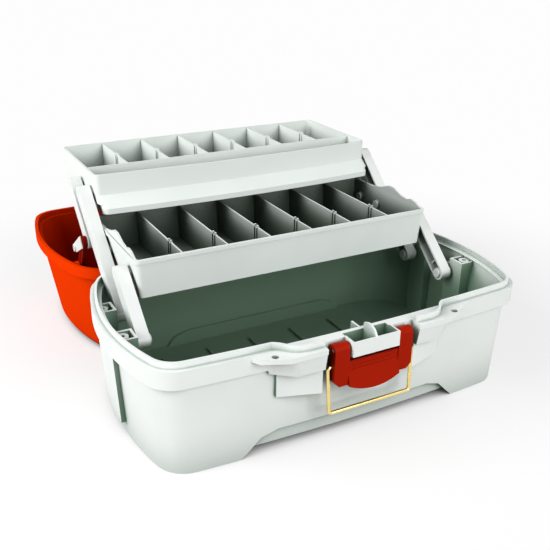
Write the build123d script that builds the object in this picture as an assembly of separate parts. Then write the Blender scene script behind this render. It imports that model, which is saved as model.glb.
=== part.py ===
from build123d import *
import math
import os

os.makedirs("parts", exist_ok=True)

# Rim shared by base and lid
RIM_LENGTH = 420.0
RIM_FRONT = 113.5
RIM_DEPTH = 220.5
END_BOW = 19.0
END_LEAD = 11.0
REAR_TAPER = 9.0
FRONT_BOW = 8.0
CORNER = 30.0
REAR_CORNER = 50.0
RIM_Z = 109.0
RIM_GAP = 0.4
LIP_HEIGHT = 6.0
LIP_THICK = 2.2
LIP_INSET = 4.0
LIP_CLEAR = 0.5
LIP_ROOT = 0.5
WALL = 2.6

# Base shell
BAND_HEIGHT = 17.5
BAND_BLEND = 4.0
BAND_STEP = 1.2
END_PROUD = 8.0
END_FLUSH = 3.0
FRONT_PROUD = 4.0
REAR_PROUD = 3.0
END_DRAFT = 5.0
SIDE_DRAFT = 3.5
RAISE = 9.0
FLOOR_THICK = 3.0
FOOT_SLOPE = 9.0
FOOT_RIM = 24.0
FOOT_EDGE = 6.0
ARCH_HALF = 110.5
ARCH_SHOULDER = 26.5
ARCH_BEND = 0.38
ARCH_HEIGHT = 15.0
ARCH_DEPTH = 4.0
PAD_HEIGHT = 3.0
PAD_PITCH = 52.0
PAD_GROOVE = 5.0
PAD_COUNT = 5
PAD_SPLIT = 76.5
PAD_MARGIN = 38.0
PANEL_PROUD = 4.5
PANEL_SET = 89.5
PANEL_WIDTH = 100.0
PANEL_RISE = 13.0
POST_DEPTH = 27.0
POST_DROP = 4.0
POST_WALL = 2.6
POST_SET = 7.0
POST_BOX = 20.0
POST_SEAT = 8.0
POST_GAP = 3.0

# Latch lugs and catch box
LUG_REACH = 24.5
LUG_HEIGHT = 22.0
LUG_PLATE = 5.0
LUG_OUTER = 114.0
LUG_SLANT = 29.0
LUG_NOSE = 11.0
LUG_FLANK = 24.0
LUG_TAPER = 4.0
LUG_ROOT = 5.0
EMBED = 2.0
APRON_HEIGHT = 26.0
APRON_OUTER = 88.5
APRON_SET = 8.0
HOLE_X = 95.7
HOLE_SET = 9.6
HOLE_R = 3.2
NOTCH_HALF = 49.0
BAR_HEIGHT = 14.0
LIP_BULGE_SET = 6.0
LIP_BULGE_HALF = 66.0
LIP_BULGE_FOOT = 102.0
LIP_EAR_DEPTH = 16.0
GUSSET_DEPTH = 15.0
GUSSET_DROP = 28.0
GUSSET_THICK = 2.0
BOX_HALF = 24.8
BOX_REACH = 8.5
BOX_HEIGHT = 14.5
BOX_RISE = 1.0
BOX_WALL = 1.6
BOX_BACK = 5.0
TAB_RISE = 7.5
TAB_CLEAR = 1.0

# Latch lever and bail
LATCH_SET = 6.5
LATCH_DROP = 6.5
LATCH_PIN_R = 2.5
LEVER_HALF = 41.5
LEVER_GAP = 1.5
LEVER_CLEAR = 0.7
SHOULDER_R = 6.0
LEVER_LENGTH = 35.0
LEVER_PLATE = 4.5
LIP_DROP = 7.0
LIP_REACH = 4.0
GRIP_RISE = 0.4
WIRE_R = 1.8
BAIL_OUT = 3.5
BAIL_NARROW = 1.0
BAIL_BEND = 2.8
BAIL_DROP = 16.5
BAIL_LENGTH = 45.3
BAIL_LEAN = 3.0
BAIL_INSERT = 7.0

# Running and standing clearances
PIN_CLEAR = 0.05
SIDE_GAP = 0.5
AXIAL_GAP = 0.4

# Arm linkage, in the y and z of the pivots
REST_ANGLE = 42.0
CLOSED_ANGLE = 146.0
ARM_R = 70.0
PIVOT_DROP = 19.0
PIVOT_SET = 97.5
ARM_SPACING = 62.0
REAR_SPACING = 36.0
ARM_HALF = 8.0
ARM_THICK = 12.0
ARM_WEB = 3.0
ARM_WALL = 2.2
ARM_MARGIN = 1.0
BOSS_WALL = 2.6
PIN_R = 3.0
HEAD_R = 4.8
HEAD_THICK = 1.6
LINK_HALF = 6.0
LINK_THICK = 4.0
LINK_WEB = 2.0
LINK_GAP = 1.0
LID_PIVOT_DROP = 8.0
LID_PIN_R = 2.5
LID_PIN_SEAT = 3.0

# Trays, placed from the pivots that carry them
TRAY_MARGIN = 24.7
TRAY_WALL = 2.2
TRAY_FLOOR = 2.4
TRAY_CORNER = 5.0
DIVIDER = 1.6
DIVIDER_PITCH = 47.6
DIVIDER_COUNT = 6
DIVIDER_SET = 1.0
RIB = 1.2
RIB_GAP = 5.0
RIB_SET = 36.0
NUB = 2.2
BEAD = 1.2
BEAD_HEIGHT = 4.0
LOWER_CLEAR = 1.5
LOWER_RISE = 19.3
LOWER_LEAD = 23.0
LOWER_DEPTH = 139.0
LOWER_TAPER = 2.2
LOWER_BOW = 0.4
EAR_RISE = 9.0
UPPER_DROP = 17.0
UPPER_HEIGHT = 38.7
UPPER_LEAD = 14.4
UPPER_DEPTH = 131.4
UPPER_BOW = 7.0
UPPER_CORNER = 7.0
SKIRT_REACH = 14.6
SKIRT_HEIGHT = 5.8
SHELF_HEIGHT = 16.8
SHELF_FALL = 1.0
EAR_ROOM = 1.8
END_SET = 3.2
TROUGH = 35.4

# Lid shell
LID_HEIGHT = 108.4
LID_BAND = 12.0
LID_END_PROUD = 4.0
LID_FRONT_PROUD = 2.5
LID_END_DRAFT = 17.0
LID_SIDE_DRAFT = 3.0
LID_EDGE = 8.0
BULGE_LEAD = 5.0
BULGE_WALL = 1.6
BULGE_SIDE = 12.0
BULGE_HEIGHT = 26.0
BULGE_SLOPE = 8.0
CATCH_HALF = 36.0
CATCH_RISE = 9.0
CATCH_HEIGHT = 8.0
CATCH_REACH = 6.0
CATCH_ROOT = 9.0
CATCH_EDGE = 1.0

# Rear hinge
HINGE_OUT = 2.0
KNUCKLE_R = 3.5
HINGE_PIN_R = 1.5
STATION_X = 90.0
KNUCKLE_LEN = 16.0
KNUCKLE_GAP = 0.4
LEAF = 9.0

# Carry handle in the lid's top
RECESS_HALF_X = 82.0
RECESS_HALF_Y = 27.0
RECESS_DEPTH = 15.0
RECESS_WALL = 2.2
HANDLE_SIDE = 3.0
HANDLE_EDGE = 1.0
HANDLE_THICK = 12.0
HANDLE_BAR = 16.0
HANDLE_ARM = 14.0
HANDLE_REACH = 38.0
HANDLE_PIN_R = 2.0
HANDLE_PIN_SEAT = 7.0

# Places that follow from the sizes above
HALF = RIM_LENGTH / 2 - END_BOW
FRONT = -RIM_FRONT
REAR = FRONT + RIM_DEPTH
FLOOR_Z = RAISE + FLOOR_THICK
LUG_Z = RIM_Z - LUG_HEIGHT
LUG_FRONT = FRONT - LUG_REACH
LATCH_Y = LUG_FRONT + LATCH_SET
LATCH_Z = RIM_Z - LATCH_DROP
BAR_FRONT = LATCH_Y + SHOULDER_R + LEVER_CLEAR
LIP_BULGE_Y = LUG_FRONT + LIP_BULGE_SET
BULGE_FRONT = LIP_BULGE_Y - BULGE_LEAD
LID_Z = RIM_Z + RIM_GAP
HINGE_Y = REAR + HINGE_OUT
HINGE_Z = RIM_Z + RIM_GAP / 2
TRAY_HALF = HALF - TRAY_MARGIN
ARM_IN = TRAY_HALF + BEAD + ARM_MARGIN
ARM_OUT = ARM_IN + ARM_THICK
POST_IN = ARM_OUT + SIDE_GAP + POST_GAP

# The origin is on the floor, under the middle of the open box
LEVER_FRONT = LATCH_Y - SHOULDER_R
CENTRE_Y = (LEVER_FRONT - LIP_REACH + 2 * HINGE_Y - BULGE_FRONT) / 2


def save(piece, node):
    """Write a piece, moved from the base's own frame to the open box's middle."""
    export_step(Pos(0, -CENTRE_Y, 0) * piece, f"parts/{node}.step")


def box(x0, x1, y0, y1, z0, z1):
    """A box between two corners."""
    centre = Pos((x0 + x1) / 2, (y0 + y1) / 2, (z0 + z1) / 2)
    return centre * Box(abs(x1 - x0), abs(y1 - y0), abs(z1 - z0))


def rod(x0, x1, y, z, r):
    """A round bar along X."""
    return Pos((x0 + x1) / 2, y, z) * Rot(0, 90, 0) * Cylinder(r, abs(x1 - x0))


def slab_xy(points, z0, z1):
    """A flat piece drawn in plan."""
    return Pos(0, 0, z0) * extrude(make_face(Polyline(*points, close=True)), amount=z1 - z0)


def slab_yz(points, x0, x1):
    """A flat piece drawn from the side."""
    plane = Plane(origin=(x0, 0, 0), x_dir=(0, 1, 0), z_dir=(1, 0, 0))
    return extrude(plane * make_face(Polyline(*points, close=True)), amount=x1 - x0)


def slab_xz(points, y0, y1):
    """A flat piece drawn from the front."""
    plane = Plane(origin=(0, y1, 0), x_dir=(1, 0, 0), z_dir=(0, -1, 0))
    return extrude(plane * make_face(Polyline(*points, close=True)), amount=y1 - y0)


def both(piece):
    """A piece and its mirror image on the other end."""
    return piece + mirror(piece, about=Plane.YZ)


def outline(half, front, rear, end_bow, front_bow, radius, rear_radius):
    """A plan with bowed ends, a bowed front, a straight rear and rounded corners."""
    middle = (front + rear) / 2 - END_LEAD
    rear_half = half - REAR_TAPER
    back = Line((-rear_half, rear), (rear_half, rear))
    right = ThreePointArc((rear_half, rear), (half + end_bow, middle), (half, front))
    fore = ThreePointArc((half, front), (0, front - front_bow), (-half, front))
    left = ThreePointArc((-half, front), (-half - end_bow, middle), (-rear_half, rear))
    face = make_face([back, right, fore, left])
    face = fillet(face.vertices().group_by(Axis.Y)[0], radius)
    return fillet(face.vertices().group_by(Axis.Y)[-1], rear_radius)


def ring(end, front, rear, radius, bow=END_BOW):
    """The rim's plan, drawn in from its end, front and rear faces."""
    rear_radius = radius + REAR_CORNER - CORNER
    return outline(HALF - end, FRONT + front, REAR - rear, bow, FRONT_BOW, radius, rear_radius)


def ear(inner, front, half, foot, foot_y):
    """An ear's plan: a straight front, then an S of two arcs that runs out along the rim."""
    back = FRONT + LIP_EAR_DEPTH
    middle = ((half + foot) / 2, (front + foot_y) / 2)
    near = TangentArc((half, front), middle, tangent=(1, 0))
    far = TangentArc((foot, foot_y), middle, tangent=(-1, 0))
    rest = Polyline((foot, foot_y), (foot, back), (inner, back), (inner, front), (half, front))
    return make_face([near, far, *rest.edges()])


def layer(plan, z0, z1):
    """A plan raised between two heights."""
    return Pos(0, 0, z0) * extrude(plan, amount=z1 - z0)


def stack(levels):
    """A solid through plans at rising heights."""
    return loft([Pos(0, 0, z) * plan for z, plan in levels], ruled=True)


# Base shell
def base_plan(z, inset, side_set=0.0, end_set=0.0):
    """The base wall's plan at a height, drawn in by an inset; its ends bow less than the rim."""
    lean = 1 - z / RIM_Z
    end = END_FLUSH + END_DRAFT * lean + inset + end_set
    front = FRONT_PROUD + SIDE_DRAFT * lean + inset + side_set
    rear = REAR_PROUD + SIDE_DRAFT * lean + inset + side_set
    return ring(end, front, rear, CORNER - inset, END_BOW + END_FLUSH - END_PROUD)


def base_block(inset, side_set=0.0, end_set=0.0):
    """The base wall's form from the floor to the rim, drawn in by an inset."""
    return stack([(z, base_plan(z, inset, side_set, end_set)) for z in (0, RIM_Z)])


BAND_Z = RIM_Z - BAND_HEIGHT
base = base_block(0)
base += layer(ring(0, 0, 0, CORNER), BAND_Z, RIM_Z)

panel_front = FRONT + PANEL_SET
panel_rear = panel_front + PANEL_WIDTH
panel_room = box(HALF / 2, HALF * 2, panel_front, panel_rear, PANEL_RISE, BAND_Z + EMBED)
base += both(base_block(0, 0, -PANEL_PROUD) & panel_room)

# Latch lugs with their hole plates, aprons and the bar across the notch
def lug_plan(z):
    """A lug's plan at a height: it draws in below its plate, where its flank sweeps back to the band."""
    drawn = LUG_TAPER * (RIM_Z - z) / LUG_HEIGHT
    front = LUG_FRONT + drawn
    half = LUG_OUTER - LUG_SLANT - LUG_ROOT - drawn
    points = [
        (NOTCH_HALF, FRONT + EMBED),
        (NOTCH_HALF, front),
        (half, front),
        (half + LUG_FLANK - drawn, FRONT - LUG_ROOT),
        (half + LUG_FLANK - drawn, FRONT + EMBED),
    ]
    return make_face(Polyline(*points, close=True))


plate_points = [
    (NOTCH_HALF, FRONT + EMBED),
    (NOTCH_HALF, LUG_FRONT),
    (LUG_OUTER - LUG_SLANT, LUG_FRONT),
    (LUG_OUTER - LUG_ROOT, LUG_FRONT + LUG_NOSE),
    (LUG_OUTER, FRONT - LUG_ROOT),
    (LUG_OUTER, FRONT + EMBED),
]
lug = slab_xy(plate_points, RIM_Z - LUG_PLATE, RIM_Z)
lug += stack([(LUG_Z, lug_plan(LUG_Z)), (RIM_Z - LUG_PLATE / 2, lug_plan(RIM_Z - LUG_PLATE / 2))])
apron_points = [
    (APRON_OUTER, FRONT + EMBED),
    (APRON_OUTER, FRONT - FRONT_PROUD),
    (NOTCH_HALF, LUG_FRONT + APRON_SET),
    (NOTCH_HALF, FRONT + EMBED),
]
lug += slab_xy(apron_points, LUG_Z - APRON_HEIGHT, LUG_Z)
base += both(lug)
base += box(-NOTCH_HALF, NOTCH_HALF, BAR_FRONT, FRONT, RIM_Z - BAR_HEIGHT, RIM_Z)

# Cavity, set back behind the arches in the front and rear walls
band_depth = LIP_INSET + LIP_THICK + BAND_STEP
band_room = ring(band_depth, band_depth, band_depth, CORNER - band_depth)
blend_z = BAND_Z - BAND_BLEND
cavity_levels = [(z, base_plan(z, WALL)) for z in (FLOOR_Z, blend_z)]
cavity = stack(cavity_levels + [(RIM_Z, band_room)])


def arch_slab(grow):
    """The arch drawn from the front, through the whole base, grown by a margin."""
    half = ARCH_HALF + grow
    bend = ARCH_BEND * ARCH_SHOULDER
    top = RAISE + ARCH_HEIGHT + grow
    knee = top - ARCH_HEIGHT / 3
    right = [(half - ARCH_SHOULDER, top), (half - bend, knee), (half, RAISE), (half, 0)]
    left = [(-x, z) for x, z in reversed(right)]
    return slab_xz(left + right, FRONT - LUG_REACH, REAR + LUG_REACH)


cavity -= arch_slab(WALL) - base_block(WALL, ARCH_DEPTH)
base -= cavity
base -= arch_slab(0) - base_block(0, ARCH_DEPTH)
foot_inner = ARCH_HALF + FOOT_SLOPE
tunnel = [(-foot_inner, 0), (-ARCH_HALF, RAISE), (ARCH_HALF, RAISE), (foot_inner, 0)]
base -= slab_xz(tunnel, FRONT - LUG_REACH, REAR + LUG_REACH)
foot_pocket = box(
    foot_inner + FOOT_EDGE, HALF - FOOT_RIM, FRONT + FOOT_RIM, REAR - FOOT_RIM, -RAISE, RAISE
)
base -= both(foot_pocket)

# Floor pads
pad_span = PAD_COUNT * PAD_PITCH
pad_split = REAR - PAD_SPLIT
pad_rows = [
    (FRONT + PAD_MARGIN, pad_split - PAD_GROOVE / 2),
    (pad_split + PAD_GROOVE / 2, REAR - PAD_MARGIN),
]
for index in range(PAD_COUNT):
    left = -pad_span / 2 + index * PAD_PITCH + PAD_GROOVE / 2
    right = left + PAD_PITCH - PAD_GROOVE
    for front, rear in pad_rows:
        base += box(left, right, front, rear, FLOOR_Z - EMBED / 2, FLOOR_Z + PAD_HEIGHT)

# Lip that the lid closes over, bulging forward beside the latch
def lip_plan(inset):
    """The lip's outer plan, drawn in by an inset, with an ear each side of the notch."""
    depth = LIP_INSET + inset
    rim = ring(depth, depth, depth, CORNER - depth)
    inner = NOTCH_HALF - abs(inset)
    half = LIP_BULGE_HALF - inset / 2
    foot = LIP_BULGE_FOOT - inset / 2
    side = ear(inner, LIP_BULGE_Y + inset, half, foot, FRONT + inset)
    return rim + side + mirror(side, about=Plane.YZ)


lip = layer(lip_plan(0) - lip_plan(LIP_THICK), RIM_Z - LIP_ROOT, RIM_Z + LIP_HEIGHT)
notch_rear = FRONT + LIP_EAR_DEPTH
notch_room = box(-NOTCH_HALF, NOTCH_HALF, FRONT - 2 * LUG_REACH, notch_rear, RIM_Z, RIM_Z + 2 * LIP_HEIGHT)
base += lip - notch_room

# Gusset behind the bar
gusset = [
    (FRONT - EMBED, RIM_Z - EMBED),
    (FRONT + GUSSET_DEPTH, RIM_Z - EMBED),
    (FRONT + GUSSET_DEPTH, RIM_Z - GUSSET_DROP / 2),
    (FRONT, RIM_Z - GUSSET_DROP),
    (FRONT - EMBED, RIM_Z - GUSSET_DROP),
]
base += slab_yz(gusset, -GUSSET_THICK / 2, GUSSET_THICK / 2)

# Catch box on the bar, with its rib
BOX_FRONT = LATCH_Y - BOX_REACH
BOX_TOP = RIM_Z + BOX_RISE
BOX_LOW = BOX_TOP - BOX_HEIGHT
TAB_TOP = BOX_TOP + TAB_RISE
BOX_REAR = FRONT - BOX_BACK
base += box(-BOX_HALF, BOX_HALF, BOX_FRONT, BAR_FRONT + EMBED / 2, BOX_LOW, BOX_TOP)
base -= box(-BOX_HALF - 1, BOX_HALF + 1, BAR_FRONT, BAR_FRONT + EMBED, RIM_Z, BOX_TOP + 1)
base -= box(
    -BOX_HALF + BOX_WALL,
    BOX_HALF - BOX_WALL,
    BOX_FRONT + BOX_WALL,
    BOX_REAR,
    BOX_LOW + BOX_WALL,
    TAB_TOP,
)
tab_length = BOX_REAR - BOX_FRONT
rib_points = [
    (BOX_REAR + EMBED / 2, BOX_LOW + BOX_WALL / 2),
    (BOX_REAR + EMBED / 2, RIM_Z - EMBED),
    (BOX_REAR - EMBED / 4, RIM_Z - EMBED / 4),
    (BOX_REAR - EMBED / 4, TAB_TOP - TAB_RISE * 0.3),
    (BOX_REAR - tab_length * 0.3, TAB_TOP),
    (BOX_REAR - tab_length * 0.55, TAB_TOP - TAB_RISE * 0.05),
    (BOX_REAR - tab_length * 0.8, TAB_TOP - TAB_RISE * 0.35),
    (BOX_FRONT + BOX_WALL / 2, BOX_TOP - EMBED / 4),
    (BOX_FRONT + BOX_WALL / 2, BOX_LOW + BOX_WALL / 2),
]
base += slab_yz(rib_points, -GUSSET_THICK / 2, GUSSET_THICK / 2)
latch_hole = rod(-BOX_HALF - 1, BOX_HALF + 1, LATCH_Y, LATCH_Z, LATCH_PIN_R)
base -= latch_hole
hole_z = RIM_Z - LUG_PLATE / 2
base -= both(Pos(HOLE_X, LUG_FRONT + HOLE_SET, hole_z) * Cylinder(HOLE_R, 2 * LUG_PLATE))

# Posts for the arms on the end walls
PIVOT_Z = RIM_Z - PIVOT_DROP
POST_TOP = RIM_Z - POST_DROP
FRONT_PIVOT_Y = FRONT + PIVOT_SET
REAR_PIVOT_Y = FRONT_PIVOT_Y + ARM_SPACING
band_seat = ring(band_depth - EMBED, band_depth, band_depth, CORNER - band_depth)
band_reach = layer(band_seat, BAND_Z + WALL, RIM_Z)
posts = None
for pivot_y in (FRONT_PIVOT_Y, REAR_PIVOT_Y):
    low = pivot_y - POST_DEPTH / 2 - POST_SET
    high = pivot_y + POST_DEPTH / 2 - POST_SET
    back = low + POST_BOX
    post = box(POST_IN, HALF * 2, low, back, FLOOR_Z - EMBED / 2, POST_TOP)
    post -= box(
        POST_IN + POST_WALL,
        HALF * 2,
        low + POST_WALL,
        back - POST_WALL,
        FLOOR_Z + EMBED,
        POST_TOP + EMBED,
    )
    post += box(POST_IN, HALF * 2, back - POST_WALL / 2, high, FLOOR_Z - EMBED / 2, PIVOT_Z + POST_SEAT)
    post = (post & base_block(WALL / 2)) + (post & band_reach)
    post += rod(ARM_OUT + SIDE_GAP, POST_IN + POST_WALL / 2, pivot_y, PIVOT_Z, HEAD_R)
    post -= rod(ARM_OUT, POST_IN + POST_WALL + EMBED / 2, pivot_y, PIVOT_Z, PIN_R)
    posts = post if posts is None else posts + post
base += both(posts)

# Hinge knuckles at the rear
STEP = KNUCKLE_LEN + KNUCKLE_GAP


def knuckle(x, low):
    """One knuckle with its leaf running down or up from the pin."""
    x0 = x - KNUCKLE_LEN / 2
    x1 = x + KNUCKLE_LEN / 2
    leaf_end = HINGE_Z - LEAF if low else HINGE_Z + LEAF
    return rod(x0, x1, HINGE_Y, HINGE_Z, KNUCKLE_R) + box(x0, x1, REAR - 2, HINGE_Y, HINGE_Z, leaf_end)


def knuckle_room(x):
    """The space that a knuckle of the other shell turns in."""
    reach = KNUCKLE_LEN / 2 + KNUCKLE_GAP
    return rod(x - reach, x + reach, HINGE_Y, HINGE_Z, KNUCKLE_R + KNUCKLE_GAP)


base -= both(knuckle_room(STATION_X))
base += both(knuckle(STATION_X - STEP, True) + knuckle(STATION_X + STEP, True))
hinge_reach = STEP + KNUCKLE_LEN / 2
hinge_pin = rod(STATION_X - hinge_reach, STATION_X + hinge_reach, HINGE_Y, HINGE_Z, HINGE_PIN_R)
hinge_pins = both(hinge_pin)
base -= hinge_pins
save(base, "base_shell")
save(hinge_pins, "hinge_pins")

# Lid shell, drawn closed over the base
def lid_plan(rise, inset):
    """The lid wall's plan at a height above its rim, drawn in by an inset."""
    lean = rise / LID_HEIGHT
    end = LID_END_PROUD + LID_END_DRAFT * lean + inset
    front = LID_FRONT_PROUD + LID_SIDE_DRAFT * lean + inset
    rear = REAR_PROUD + SIDE_DRAFT * lean + inset
    return ring(end, front, rear, CORNER - inset)


LID_TOP = LID_Z + LID_HEIGHT
lid = stack(
    [
        (LID_Z, lid_plan(0, 0)),
        (LID_TOP - LID_EDGE, lid_plan(LID_HEIGHT - LID_EDGE, 0)),
        (LID_TOP - LID_EDGE / 3, lid_plan(LID_HEIGHT, LID_EDGE / 4)),
        (LID_TOP, lid_plan(LID_HEIGHT, LID_EDGE)),
    ]
)
lid += layer(ring(0, 0, 0, CORNER), LID_Z, LID_Z + LID_BAND)


def bulge_plan(inset):
    """An ear of the lid's front beside the latch, drawn in by an inset."""
    inner = NOTCH_HALF - BULGE_WALL + inset
    back = FRONT + LIP_EAR_DEPTH
    points = [
        (inner, back),
        (inner, BULGE_FRONT + inset),
        (LIP_BULGE_HALF + BULGE_SIDE - inset, BULGE_FRONT + inset),
        (LIP_BULGE_FOOT - inset, FRONT + EMBED),
        (LIP_BULGE_FOOT - inset, back),
    ]
    return make_face(Polyline(*points, close=True))


bulge_middle = LID_Z + BULGE_HEIGHT / 2
bulge_levels = [
    (LID_Z, bulge_plan(0)),
    (bulge_middle, bulge_plan(BULGE_SLOPE / 8)),
    (LID_Z + BULGE_HEIGHT, bulge_plan(BULGE_SLOPE)),
]
lid += both(stack(bulge_levels))
lid_room = stack(
    [
        (LID_Z - 1, lid_plan(0, WALL)),
        (LID_TOP - LID_EDGE, lid_plan(LID_HEIGHT - LID_EDGE, WALL)),
        (LID_TOP - WALL, lid_plan(LID_HEIGHT, LID_EDGE)),
    ]
)


def recess_box(wall):
    """The handle's recess in the lid's top, grown by a wall."""
    half_x = RECESS_HALF_X + wall
    half_y = RECESS_HALF_Y + wall
    return box(-half_x, half_x, -half_y, half_y, LID_TOP - RECESS_DEPTH - wall, LID_TOP + EMBED)


lid -= lid_room - recess_box(RECESS_WALL)
lid -= layer(lip_plan(-LIP_CLEAR), LID_Z - 1, LID_Z + LIP_HEIGHT + LIP_CLEAR)
lid -= recess_box(0)
CATCH_Y = FRONT - FRONT_BOW
CATCH_LOW = LID_Z + CATCH_RISE
CATCH_TOP = CATCH_LOW + CATCH_HEIGHT
lid += slab_yz(
    [
        (CATCH_Y + CATCH_ROOT, CATCH_TOP),
        (CATCH_Y - CATCH_REACH + CATCH_EDGE, CATCH_TOP + CATCH_EDGE),
        (CATCH_Y - CATCH_REACH, CATCH_TOP - 2 * CATCH_EDGE),
        (CATCH_Y - CATCH_REACH / 2, CATCH_LOW + 2 * CATCH_EDGE),
        (CATCH_Y + CATCH_ROOT, CATCH_LOW),
    ],
    -CATCH_HALF,
    CATCH_HALF,
)
lid -= both(knuckle_room(STATION_X - STEP) + knuckle_room(STATION_X + STEP))
lid += both(knuckle(STATION_X, False))
lid -= both(rod(STATION_X - STEP, STATION_X + STEP, HINGE_Y, HINGE_Z, HINGE_PIN_R + PIN_CLEAR))

# Pivots of the linkage at rest
A = math.radians(REST_ANGLE)
C = math.radians(CLOSED_ANGLE)
DY = ARM_R * math.cos(A)
DZ = ARM_R * math.sin(A)
T1 = (FRONT_PIVOT_Y + DY, PIVOT_Z + DZ)
T2 = (REAR_PIVOT_Y + DY, PIVOT_Z + DZ)
T3 = (T2[0] + REAR_SPACING, T2[1])
U1 = (T2[0] + DY, T2[1] + DZ)
U2 = (T3[0] + DY, T3[1] + DZ)

# Lid link pivot: as far from the tray's rear pivot with the lid closed as with it open
T3C = (T3[0] + ARM_R * (math.cos(C) - math.cos(A)), T3[1] + ARM_R * (math.sin(C) - math.sin(A)))
OPEN = (T3[0] - HINGE_Y, T3[1] - HINGE_Z)
SHUT = (T3C[0] - HINGE_Y, T3C[1] - HINGE_Z)
OPEN_SQUARE = OPEN[0] ** 2 + OPEN[1] ** 2
SHUT_SQUARE = SHUT[0] ** 2 + SHUT[1] ** 2
PIVOT_OUT = ((OPEN_SQUARE - SHUT_SQUARE) / 2 + LID_PIVOT_DROP * (OPEN[1] + SHUT[1])) / (OPEN[0] + SHUT[0])
LP = (HINGE_Y + PIVOT_OUT, HINGE_Z - LID_PIVOT_DROP)

# Lid posts for the lid links, in the closed lid
LINK_IN = ARM_OUT + LINK_GAP
LINK_OUT = LINK_IN + LINK_THICK
closed_y = HINGE_Y - PIVOT_OUT
closed_z = HINGE_Z + LID_PIVOT_DROP
lug_body = rod(LINK_OUT + SIDE_GAP, HALF + 20, closed_y, closed_z, LINK_HALF)
lug_body &= stack([(LID_Z, lid_plan(0, WALL / 2)), (LID_TOP, lid_plan(LID_HEIGHT, WALL / 2))])
lip_room = lip_plan(-LIP_CLEAR) - lip_plan(LIP_THICK + LIP_CLEAR)
lug_body -= layer(lip_room, LID_Z - 1, LID_Z + LIP_HEIGHT + LIP_CLEAR)
lid += both(lug_body)
LID_PIN_END = LINK_OUT + SIDE_GAP + LID_PIN_SEAT
lid -= both(rod(LINK_OUT, LID_PIN_END, closed_y, closed_z, LID_PIN_R))

# Handle holes in the recess walls
HANDLE_HALF = RECESS_HALF_X - HANDLE_SIDE
HANDLE_Y = RECESS_HALF_Y - HANDLE_ARM / 2 - HANDLE_EDGE
HANDLE_Z = LID_TOP - RECESS_DEPTH + HANDLE_EDGE + HANDLE_THICK / 2
HANDLE_PIN_END = RECESS_HALF_X + RECESS_WALL
lid -= both(rod(RECESS_HALF_X - 1, HANDLE_PIN_END + 1, HANDLE_Y, HANDLE_Z, HANDLE_PIN_R))

# Slot in the lid's front that the catch box's tab goes into
slot_half = GUSSET_THICK / 2 + TAB_CLEAR
slot_top = TAB_TOP + TAB_CLEAR
lid -= box(-slot_half, slot_half, FRONT - 2 * FRONT_BOW, BOX_REAR + TAB_CLEAR, LID_Z - 1, slot_top)

HINGE = Axis((0, HINGE_Y, HINGE_Z), (1, 0, 0))
save(lid.rotate(HINGE, 180), "lid_shell")

# Carry handle and its pins, folded into the recess
handle_low = HANDLE_Z - HANDLE_THICK / 2
handle_high = HANDLE_Z + HANDLE_THICK / 2
handle = box(-HANDLE_HALF, HANDLE_HALF, HANDLE_Y - HANDLE_REACH, HANDLE_Y, handle_low, handle_high)
handle += rod(-HANDLE_HALF, HANDLE_HALF, HANDLE_Y, HANDLE_Z, HANDLE_THICK / 2)
handle -= box(
    -HANDLE_HALF + HANDLE_ARM,
    HANDLE_HALF - HANDLE_ARM,
    HANDLE_Y - HANDLE_REACH + HANDLE_BAR,
    HANDLE_Y + HANDLE_THICK,
    HANDLE_Z - HANDLE_THICK,
    HANDLE_Z + HANDLE_THICK,
)
HANDLE_BORE = HANDLE_PIN_R + PIN_CLEAR
HANDLE_PIN_IN = HANDLE_HALF - HANDLE_PIN_SEAT
handle -= both(rod(HANDLE_PIN_IN - EMBED / 2, HANDLE_HALF + EMBED, HANDLE_Y, HANDLE_Z, HANDLE_BORE))
handle_pins = both(rod(HANDLE_PIN_IN, HANDLE_PIN_END, HANDLE_Y, HANDLE_Z, HANDLE_PIN_R))
save(handle.rotate(HINGE, 180), "carry_handle")
save(handle_pins.rotate(HINGE, 180), "handle_pins")


# Arms and links
def bar(start, end, half, x0, thick, web, wall, holes, hole_r):
    """A channel with rounded ends, open toward the trays, with a boss at each pivot."""
    length = math.hypot(end[0] - start[0], end[1] - start[1])
    along = (0, (end[0] - start[0]) / length, (end[1] - start[1]) / length)
    plane = Plane(origin=(x0, start[0], start[1]), x_dir=along, z_dir=(1, 0, 0))
    body = extrude(plane * Pos(length / 2, 0) * SlotCenterToCenter(length, 2 * half), amount=thick)
    inner = SlotCenterToCenter(length, 2 * half - 2 * wall)
    body -= extrude(plane * Pos(length / 2, 0) * inner, amount=thick - web)
    for y, z in holes:
        body += rod(x0, x0 + thick, y, z, hole_r + BOSS_WALL)
    for y, z in holes:
        body -= rod(x0 - 1, x0 + thick + 1, y, z, hole_r)
    return body


A1 = (FRONT_PIVOT_Y, PIVOT_Z)
A2 = (REAR_PIVOT_Y, PIVOT_Z)
BORE = PIN_R + PIN_CLEAR
front_arm = bar(A1, T1, ARM_HALF, ARM_IN, ARM_THICK, ARM_WEB, ARM_WALL, (A1, T1), BORE)
long_arm = bar(A2, U1, ARM_HALF, ARM_IN, ARM_THICK, ARM_WEB, ARM_WALL, (A2, T2, U1), BORE)
rear_link = bar(T3, U2, ARM_HALF, ARM_IN, ARM_THICK, ARM_WEB, ARM_WALL, (T3, U2), BORE)
lid_link = bar(LP, T3, LINK_HALF, LINK_IN, LINK_THICK, LINK_WEB, ARM_WALL, (LP, T3), LID_PIN_R + PIN_CLEAR)
for name, piece in (
    ("front_arm", front_arm),
    ("long_arm", long_arm),
    ("rear_link", rear_link),
    ("lid_link", lid_link),
):
    save(piece, f"{name}_right")
    save(mirror(piece, about=Plane.YZ), f"{name}_left")

# Pivot pins
def pin(x0, x1, point, r, head_x):
    """A pin with a flat head at one end."""
    shank = rod(x0, x1, point[0], point[1], r)
    return shank + rod(head_x, head_x + HEAD_THICK, point[0], point[1], HEAD_R)


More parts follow.
